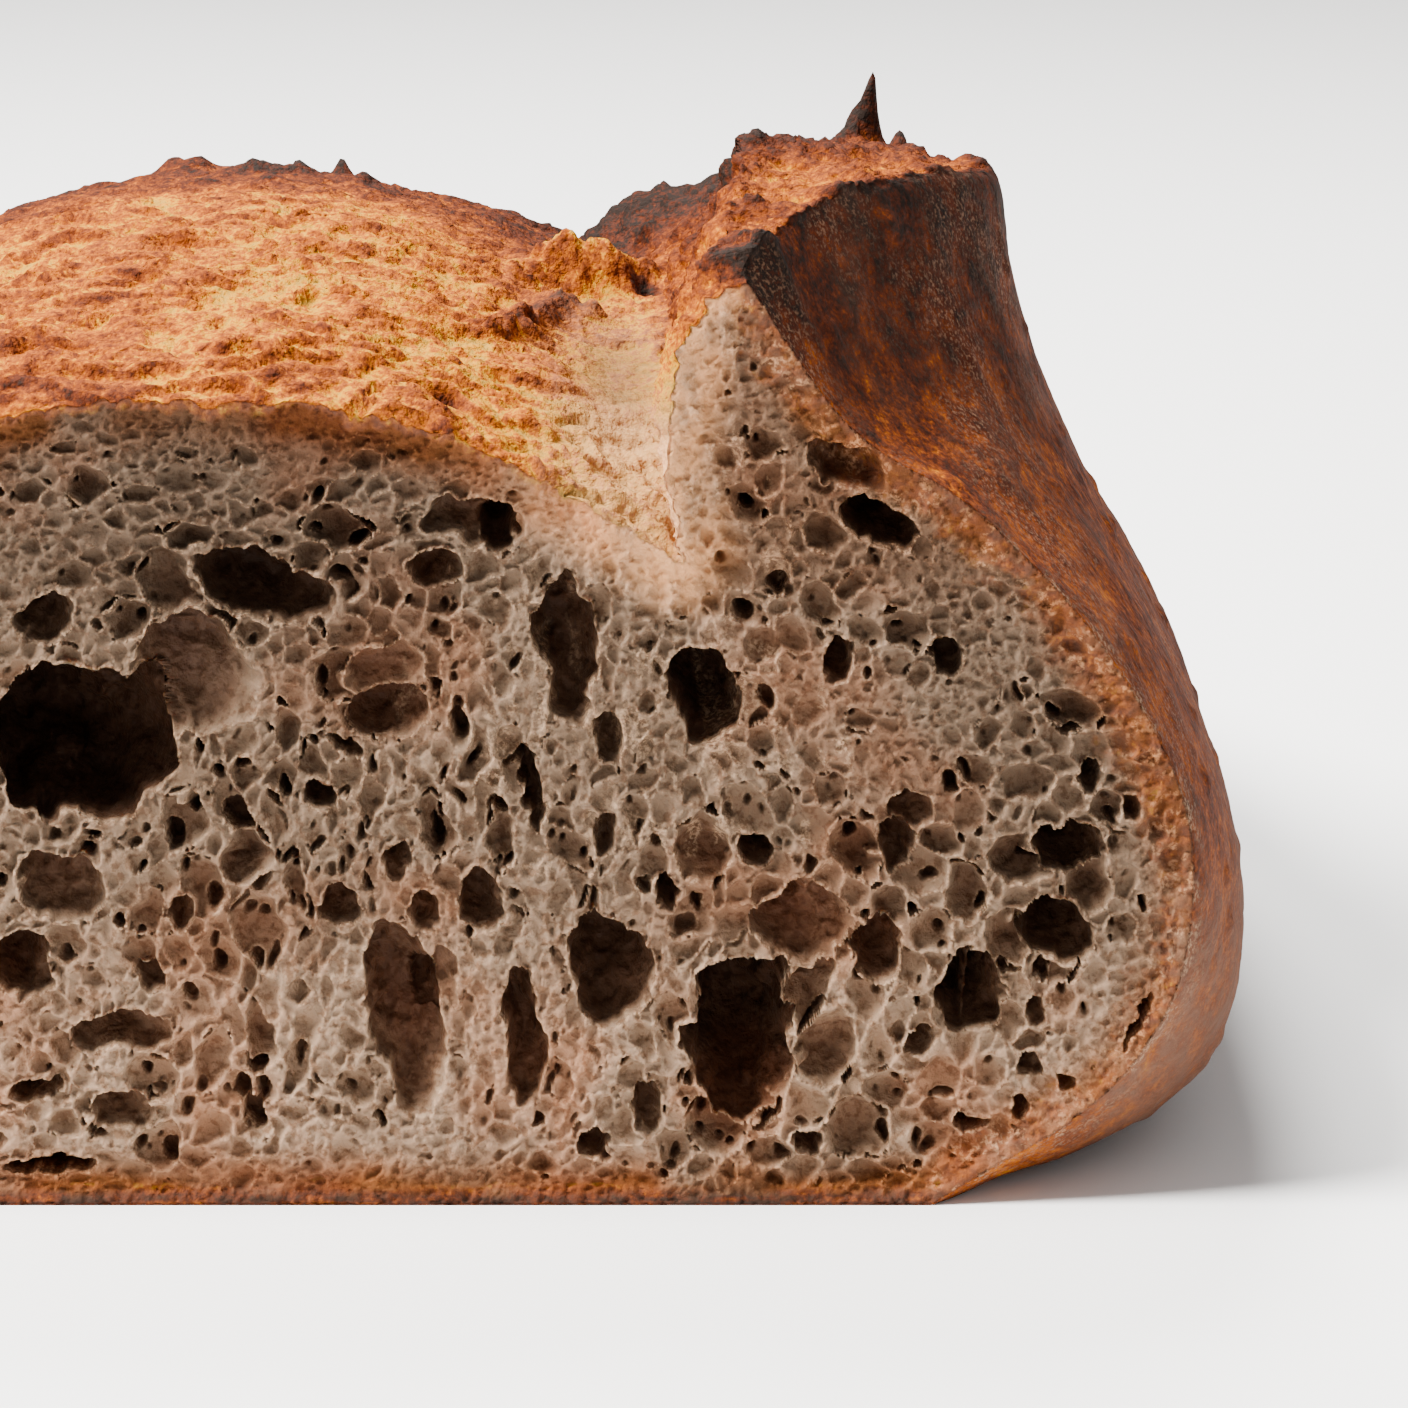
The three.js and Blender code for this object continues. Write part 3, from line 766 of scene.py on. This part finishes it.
EDGE_BAND = 0.16  # millimetres inside the outline that the grid leaves to the band
good = inside & (distance > EDGE_BAND)
quads = good[:-1, :-1] & good[1:, :-1] & good[:-1, 1:] & good[1:, 1:]


def without_loose_squares(quads):
    """Drops squares that hang on by a corner or by less than a whole edge."""
    for _ in range(12):
        p = np.pad(quads, 1)
        beside = p[2:, 1:-1].astype(int) + p[:-2, 1:-1] + p[1:-1, :-2] + p[1:-1, 2:]
        a, b, c, d = quads[:-1, :-1], quads[:-1, 1:], quads[1:, :-1], quads[1:, 1:]
        pinch = (a & d & ~b & ~c) | (b & c & ~a & ~d)
        bad = quads & (beside < 2)
        bad[:-1, :-1] |= pinch & a
        bad[:-1, 1:] |= pinch & b
        if not (bad & quads).any():
            break
        quads = quads & ~bad
    return quads


quads = without_loose_squares(quads)

# ======== one closed mesh

used = np.zeros((NZ, NX), bool)
for rows, columns in product((slice(None, -1), slice(1, None)), repeat=2):
    used[rows, columns] |= quads
FRONT = int(used.sum())
grid_index = np.full((NZ, NX), -1, np.int64)
grid_index[used] = np.arange(FRONT)
flat_front = np.stack([GX[used], GZ[used]], 1)
front_points = np.stack([grid_x[used], depth[used], grid_z[used]], 1)


def as_faces(*corners):
    return np.stack(corners, -1).reshape(-1, len(corners))


j, i = np.nonzero(quads)
front_quads = as_faces(grid_index[j, i], grid_index[j, i + 1], grid_index[j + 1, i + 1], grid_index[j + 1, i])

ring, k = np.meshgrid(FRONT + np.arange(RINGS - 1) * AROUND, np.arange(AROUND), indexing="ij")
beside = (k + 1) % AROUND
crust_quads = as_faces(ring + k, ring + AROUND + k, ring + AROUND + beside, ring + beside)

tip_index = FRONT + RINGS * AROUND
last_ring = tip_index - AROUND
k = np.arange(AROUND)
tip_fan = as_faces(last_ring + k, np.full(AROUND, tip_index), last_ring + (k + 1) % AROUND)

# The band between the grid's stepped edge and the smooth outline. Each side of a square is given as the
# neighbour's place in the padded grid and the side's two corners, as steps in z and x.
SQUARE_SIDES = (((0, 1), (0, 0), (0, 1)), ((2, 1), (1, 1), (1, 0)),
                ((1, 0), (1, 0), (0, 0)), ((1, 2), (0, 1), (1, 1)))
p = np.pad(quads, 1)
edges = []
for (dj, di), *ends in SQUARE_SIDES:
    free = quads & ~p[dj:dj + quads.shape[0], di:di + quads.shape[1]]
    fj, fi = np.nonzero(free)
    edges.append(np.stack([grid_index[fj + ej, fi + ei] for ej, ei in ends], 1))
edges = np.vstack(edges)
rim_ids = np.unique(edges)
RIM = len(rim_ids)
band_points = np.vstack([flat_front[rim_ids], edge_line])
band_edges = [tuple(map(int, edge)) for edge in np.searchsorted(rim_ids, edges)]
band_edges += [(RIM + m, RIM + (m + 1) % AROUND) for m in range(AROUND)]
found = delaunay_2d_cdt([Vector(map(float, v)) for v in band_points], band_edges, [], 0, 1e-7)
cdt_points, cdt_faces, cdt_sources = found[0], np.array(found[2]), found[3]
assert len(cdt_points) == len(band_points), "the outline crosses the grid's edge"
sources = np.array([source[0] for source in cdt_sources])
to_mesh = np.where(sources < RIM, rim_ids[np.minimum(sources, RIM - 1)], FRONT + sources - RIM)
cx, cz = np.array([[v.x, v.y] for v in cdt_points])[cdt_faces].mean(1).T
in_line, _, _ = inside_and_distance(cx, cz, edge_line)
in_grid = read_grid(quads, cx, cz) & (cx > xs[0]) & (cz > zs[0])
band = to_mesh[cdt_faces[in_line & ~in_grid]]

points = np.vstack([front_points, moved, tip])
face_sets = [front_quads, band, crust_quads, tip_fan]

# ---- values per point that the materials read ----

# The painted shade in the crumb's hollows is at its darkest at this depth.
HOLLOW_FULL = 8.0  # millimetres of depth at which a hollow has its darkest colour

under_bloom = between(13.6, 18.2, 0.4)[nearest]
at_base = along_base(0.3)[nearest]
side = unit(1 - under_bloom - at_base - torn_edge)
layers = noise(plane / np.array([3.0, 1, 0.5]), 1.2, 151, 2).reshape(NZ, NX)
on_floor = fade(GZ + 0.5 * layers, 0.7, 1.9) * fade(np.abs(GX), 48, 54)

# The crust's band along the outline: how wide it is, and how far it is baked.
band_width = 0.8 * under_bloom + 1.3 * at_base + 3.6 * side
band_width = np.maximum(band_width * (1 + 0.5 * field(5, 131, 2) + 0.5 * field(1.1, 133, 2)), 0.05)
crumb_share = np.maximum(ease(distance / band_width, 0.2, 1.2), 0.45 * side)
crumb_share = unit(crumb_share + 0.3 * side * field(0.8, 153) * fade(distance, 2.5, 5))
crumb_share = mix(crumb_share, 1.0, torn_edge) * (1 - 0.95 * on_floor)
grain_bake = field(1.0, 135, 2)
section_bake = mix(0.62, 0.48, ease(distance, 0.3, 1.6)) + 0.16 * grain_bake
section_bake = mix(section_bake, 0.4 + 0.2 * grain_bake, under_bloom * (1 - at_base))
section_bake = mix(section_bake, 0.5 + 0.4 * layers, at_base)
section_bake = mix(section_bake, 0.85 + 0.35 * layers, on_floor)
section_bake = mix(section_bake, 0.1, torn_edge)

cream = torn_edge * fade(distance, 0.5, 6.5) * (1 + 0.4 * field(4, 137) + 0.35 * fibres)
browned = fade(distance, 1.0, 6.5) * (1 - torn_edge) * (0.85 + 0.4 * field(5, 139))
browned = np.maximum(browned, 0.35 * ease(GZ, 54, 64) * ease(GX, 25, 32))


def blurred(values, reach):
    """Means over squares of the grid, 2 * reach + 1 points wide."""
    wide = 2 * reach + 1
    for axis in (0, 1):
        padded = np.pad(values, [(reach + 1, reach) if a == axis else (0, 0) for a in (0, 1)], mode="edge")
        total = np.cumsum(padded, axis)
        starts = np.arange(values.shape[axis])
        values = (np.take(total, starts + wide, axis) - np.take(total, starts, axis)) / wide
    return values


# Painted highlights on the crests between the hollows, and light bits: torn fibres, and crumbs along the
# skin.
crest_highlight = ease(blurred(np.minimum(hollow, 3), 2) - hollow, 0.06, 0.5)
torn_bits = 0.8 * torn_edge * ease(-fibres, 0.1, 0.6)
skin_bits = 1.1 * side * fade(distance, 2, 5.5) * ease(field(0.9, 155, 2), 0.05, 0.5)

# Painted shade on the crumb: darker towards the top, the top left, the right side and the ear, lighter low
# down.
painted_shade = (0.63 + 0.34 * fade(GZ, 10, 36)
         - 0.26 * ease(GZ, 42, 66) * fade(GX, -5, 15)
         - 0.14 * ease(GX, 28, 50) * ease(GZ, 28, 45)
         - 0.12 * ease(GZ, 54, 66) * ease(GX, 24, 30))
# More painted shade just above the base and near the crust under the bloom.
painted_shade *= 1 - 0.3 * at_base * fade(GZ, 2, 6)
painted_shade *= 1 - 0.1 * under_bloom * fade(distance, 1.5, 8) * (1 - torn_edge)

patchy = ease(noise(flat, 2.4, 57, 2), -0.2, 0.5)
beads = 0.6 * fade(yy, 0.3, 1.6) + 0.5 * m_skin * fade(yy, 0.8, 5)
beads *= (1 - m_base) * fade(height, 58, 72) * patchy * mix(0.4, 0.8, m_skin)

# What each attribute says, on the cut face's grid and on the crust's rings.
ATTRIBUTES = {
    "bake": (section_bake, bake),
    # In the pale hollow the crust takes the crumb colour, so that the painted shade darkens it.
    "crumb": (crumb_share, unit(soft + 0.75 * pale_hollow)),
    # How deep the cut face lies, for the painted shade in the hollows.
    "hollow": (unit(hollow / HOLLOW_FULL), 0),
    # Painted highlights on crests, with light bits of fibre and crumb; on the crust, crumbs along the cut's
    # edge.
    "highlights_and_bits": (unit((crest_highlight + torn_bits + skin_bits) * (1 - on_floor)), unit(soft * 0.3 + beads)),
    "flour": (0, flour),
    "shine": (ease(hole_depth, 0.5, 3.0), 0),
    "tone": (field(10, 141, 2), coarse),
    "cream": (unit(cream), np.maximum(soft, 0.15 * pale_hollow)),
    "browned": (unit(browned), 0),
    "torn": (0.35, torn_skin),
    # Painted shade as a factor on the crumb colour: 0.8 on the crust, down to 0.2 in the pale hollow beside
    # the score.
    "painted_shade": (painted_shade, mix(0.8, 0.2, unit(pale_hollow * 1.2))),
    "dust": (0.36 * side + 0.4 * under_bloom + 0.2 * at_base, np.clip(dust, 0, 0.85)),
}

mesh = bpy.data.meshes.new("loaf")
sizes = np.concatenate([np.full(len(f), f.shape[1], np.int32) for f in face_sets])
corners = np.concatenate([f.ravel() for f in face_sets]).astype(np.int32)
starts = (np.cumsum(sizes) - sizes).astype(np.int32)
mesh.vertices.add(len(points))
mesh.vertices.foreach_set("co", ((points - ORIGIN) * MM).astype(np.float32).ravel())
mesh.loops.add(len(corners))
mesh.loops.foreach_set("vertex_index", corners)
mesh.polygons.add(len(sizes))
mesh.polygons.foreach_set("loop_start", starts)
mesh.polygons.foreach_set("loop_total", sizes)
mesh.update(calc_edges=True)
mesh.polygons.foreach_set("use_smooth", np.ones(len(sizes), bool))

for name, (on_cut, on_crust) in ATTRIBUTES.items():
    on_cut = np.broadcast_to(on_cut, (NZ, NX))[used]
    on_crust = np.broadcast_to(on_crust, len(flat))
    values = np.concatenate([on_cut, on_crust, on_crust[-1:]])
    mesh.attributes.new(name, "FLOAT", "POINT").data.foreach_set("value", values.astype(np.float32))

# ---- a flat map of the surface: the cut face below the unrolled crust ----

FRONT_WIDTH = 0.46
MARGIN = 0.01
CRUST_FROM = 0.42
CRUST_HEIGHT = 0.56
RIGHT_POINT = 300  # a point of every ring, on the loaf's right side
WIDE_RING = 120

scale = FRONT_WIDTH / (xs[-1] - xs[0])
front_uv = (np.vstack([flat_front, edge_line]) - (xs[0], zs[0])) * scale + (MARGIN, 2 * MARGIN)
front_corners = np.concatenate([front_quads.ravel(), band.ravel()])


def lengths_along(line):
    return np.concatenate([[0], np.cumsum(np.linalg.norm(np.diff(line, axis=0), axis=1))])


# How far each ring is from the cut, and each ring point from the first.
ring_far = lengths_along(loft[:, RIGHT_POINT])
ring_far = np.append(ring_far, ring_far[-1] + 1.0)
point_far = lengths_along(np.vstack([loft[WIDE_RING], loft[WIDE_RING, :1]]))
point_far /= point_far[-1]


def crust_uv(faces):
    """Places on the unrolled crust. A face across the seam has its first points moved to the far side."""
    local = faces - FRONT
    around = local % AROUND
    wraps = ((around.max(1) - around.min(1)) > AROUND // 2)[:, None]
    position = np.where(wraps & (around < AROUND // 2), 1.0, point_far[around])
    position = np.where(local == RINGS * AROUND, 0.5, position)
    up = ring_far[local // AROUND] / ring_far[-1]
    across = MARGIN + (1 - 2 * MARGIN) * position
    return np.stack([across, CRUST_FROM + CRUST_HEIGHT * up], -1).reshape(-1, 2)


all_uv = np.vstack([front_uv[front_corners], crust_uv(crust_quads), crust_uv(tip_fan)])
mesh.uv_layers.new(name="OFBake").data.foreach_set("uv", all_uv.astype(np.float32).ravel())
mesh.validate()

scene = bpy.context.scene
loaf = bpy.data.objects.new("loaf", mesh)
scene.collection.objects.link(loaf)

# ======== material

bread = bpy.data.materials.new("bread")
bread.use_nodes = True
tree = bread.node_tree
shader = tree.nodes["Principled BSDF"].inputs
WHITE = (1, 1, 1, 1)


def srgb(*levels):
    """A colour in linear values, from levels of 0 to 255."""
    shares = [level / 255 for level in levels]
    return (*(c / 12.92 if c <= 0.04045 else ((c + 0.055) / 1.055) ** 2.4 for c in shares), 1.0)


def grey(level):
    return (level, level, level, 1)


def feed(socket, value):
    """Gives an input a value, or links it to another node's output."""
    if isinstance(value, bpy.types.NodeSocket):
        tree.links.new(value, socket)
    else:
        socket.default_value = value


def node(kind, inputs, **settings):
    """The outputs of a new node."""
    made = tree.nodes.new(kind)
    for name, value in settings.items():
        setattr(made, name, value)
    for name, value in inputs.items():
        feed(made.inputs[name], value)
    return made.outputs


def ramp(factor, *stops):
    """Colours by a factor, from stops given as place and colour."""
    made = tree.nodes.new("ShaderNodeValToRGB")
    elements = made.color_ramp.elements
    while len(elements) < len(stops):
        elements.new(0.5)
    for element, (at, colour) in zip(elements, stops):
        element.position = at
        element.color = colour
    feed(made.inputs["Fac"], factor)
    return made.outputs["Color"]


def attribute(name):
    return node("ShaderNodeAttribute", {}, attribute_name=name)["Fac"]


def maths(operation, a, b, clamp=False):
    return node("ShaderNodeMath", {0: a, 1: b}, operation=operation, use_clamp=clamp)[0]


def times(a, b):
    return maths("MULTIPLY", a, b)


def plus(a, b, clamp=False):
    return maths("ADD", a, b, clamp)


def swing(source, amount):
    """A noise's way above or below its middle, times an amount."""
    return times(maths("SUBTRACT", source, 0.5), amount)


def blend(factor, a, b, mode="MIX"):
    return node("ShaderNodeMix", {0: factor, 6: a, 7: b}, data_type="RGBA", blend_type=mode)[2]


def tinted(colour, other, share=1.0):
    return blend(share, colour, other, "MULTIPLY")


on_loaf = node("ShaderNodeTexCoord", {})["Object"]


def grain(scale, detail):
    """Noise fixed to the loaf."""
    inputs = {"Vector": on_loaf, "Scale": scale, "Detail": detail, "Roughness": 0.6}
    return node("ShaderNodeTexNoise", inputs)["Fac"]


speck_noise = grain(2300, 2)
fine_noise = grain(900, 3)
mid_noise = grain(260, 5)
wide_noise = grain(60, 4)
cells = node("ShaderNodeTexVoronoi", {"Vector": on_loaf, "Scale": 1300})

# Crust: pale cream, gold, orange, red-brown, black, by how far it is baked.
baked = attribute("bake")
for source, amount in ((speck_noise, 0.8), (fine_noise, 0.75), (mid_noise, 0.55)):
    baked = plus(baked, swing(source, amount))
crust_colour = ramp(baked, (0.0, srgb(142, 105, 34)), (0.12, srgb(164, 112, 4)), (0.3, srgb(138, 70, 4)),
                    (0.5, srgb(99, 44, 9)), (0.7, srgb(66, 27, 11)), (1.0, srgb(26, 18, 14)))
flour_spots = times(attribute("flour"), ramp(speck_noise, (0.5, grey(0)), (0.66, WHITE)))
crust_colour = blend(times(flour_spots, 0.5), crust_colour, srgb(164, 118, 90))
crust_colour = blend(attribute("dust"), crust_colour, srgb(98, 72, 59))

# Crumb: light rims and olive-brown in the bubbles, darkening with depth: painted shade in the hollows.
crumb = ramp(plus(attribute("hollow"), swing(mid_noise, 0.12), clamp=True),
                    (0.0, srgb(143, 119, 99)), (0.05, srgb(132, 109, 90)), (0.14, srgb(122, 99, 80)),
                    (0.3, srgb(106, 80, 62)), (0.6, srgb(92, 65, 49)), (1.0, srgb(70, 47, 34)))
crumb = tinted(crumb, ramp(
    plus(times(attribute("tone"), 0.3), wide_noise),
    (0.2, srgb(230, 227, 223)), (0.5, srgb(255, 253, 250)), (0.8, srgb(255, 227, 211))))
specks = ramp(fine_noise, (0.38, srgb(168, 140, 114)), (0.5, WHITE))
# The crumb colour is darkened by the painted shade.
crumb = tinted(tinted(crumb, specks, 0.6), attribute("painted_shade"))
crumb = blend(times(attribute("cream"), 0.7), crumb, srgb(204, 146, 98))
crumb = blend(attribute("browned"), crumb, tinted(crumb, srgb(228, 168, 112)))

# Painted highlights on the crumb's crests, and light bits on rims and along the cut's edge.
bits_and_highlights = times(attribute("highlights_and_bits"), ramp(speck_noise, (0.46, grey(0.1)), (0.6, WHITE)))
bits_and_highlights = times(bits_and_highlights, ramp(mid_noise, (0.4, grey(0.4)), (0.6, WHITE)))
bit_and_highlight_colour = blend(attribute("browned"), srgb(180, 148, 118), srgb(192, 132, 88))
colour = blend(attribute("crumb"), crust_colour, crumb)
feed(shader["Base Color"], blend(times(bits_and_highlights, 0.55), colour, bit_and_highlight_colour))

rough = plus(times(attribute("shine"), -0.3), 0.82)
feed(shader["Roughness"], plus(rough, swing(mid_noise, 0.25), clamp=True))

# Relief too fine for the mesh: strong on torn surfaces, granular on the skin. Distances are in metres.
torn_relief = node("ShaderNodeBump", {"Strength": 0.8, "Distance": 0.0016,
                                      "Height": times(mid_noise, plus(attribute("torn"), 0.35))})
fine_relief = node("ShaderNodeBump", {"Strength": 0.7, "Distance": 0.00035, "Normal": torn_relief["Normal"],
                                      "Height": plus(fine_noise, times(cells["Distance"], -0.5))})
feed(shader["Normal"], fine_relief["Normal"])

feed(shader["Subsurface Weight"], times(attribute("crumb"), 0.18))
feed(shader["Subsurface Radius"], (1.0, 0.5, 0.28))
feed(shader["Subsurface Scale"], 0.001)
feed(shader["Specular IOR Level"], 0.06)

loaf.data.materials.append(bread)
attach(loaf, "root")
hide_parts("sourdough_loaf")

# ======== stage, light and camera


bpy.ops.mesh.primitive_plane_add(size=6, location=(0, 0, 0))
floor = bpy.context.object
floor.name = "floor"
paint = bpy.data.materials.new("floor_white")
paint.use_nodes = True
coat = paint.node_tree.nodes["Principled BSDF"].inputs
feed(coat["Base Color"], grey(0.9))
feed(coat["Roughness"], 0.7)
floor.data.materials.append(paint)

world = bpy.data.worlds.new("studio")
scene.world = world
world.use_nodes = True
background = world.node_tree.nodes["Background"].inputs
feed(background["Color"], WHITE)
feed(background["Strength"], 0.55)


def area(name, place, target, size, power, colour):
    """A round lamp that shines at the target."""
    data = bpy.data.lights.new(name, "AREA")
    data.shape = "DISK"
    data.size = size
    data.energy = power
    data.color = colour
    lamp = bpy.data.objects.new(name, data)
    lamp.location = place
    lamp.rotation_euler = (Vector(target) - Vector(place)).to_track_quat("-Z", "Y").to_euler()
    scene.collection.objects.link(lamp)


area("key", (-0.45, -0.2, 0.72), (0, -0.05, 0.05), 0.35, 42, (1, 0.97, 0.93))
area("back", (-0.1, 0.4, 0.7), (0, 0, 0.06), 0.4, 15, (1, 0.98, 0.95))

# The camera looks 15 degrees down at the cut face. The frame shows 129.5 mm of it.
TARGET = Vector(((26.6 - ORIGIN[0]) * MM, -ORIGIN[1] * MM, 49 * MM))
ELEVATION = math.radians(15)
DISTANCE = 0.48
SHOWN = 0.1295
forward = Vector((0, math.cos(ELEVATION), -math.sin(ELEVATION)))
camera_data = bpy.data.cameras.new("camera")
camera_data.sensor_width = 36
camera_data.lens = camera_data.sensor_width * DISTANCE / SHOWN
camera = bpy.data.objects.new("camera", camera_data)
camera.location = TARGET - forward * DISTANCE
camera.rotation_euler = forward.to_track_quat("-Z", "Y").to_euler()
scene.collection.objects.link(camera)
scene.camera = camera
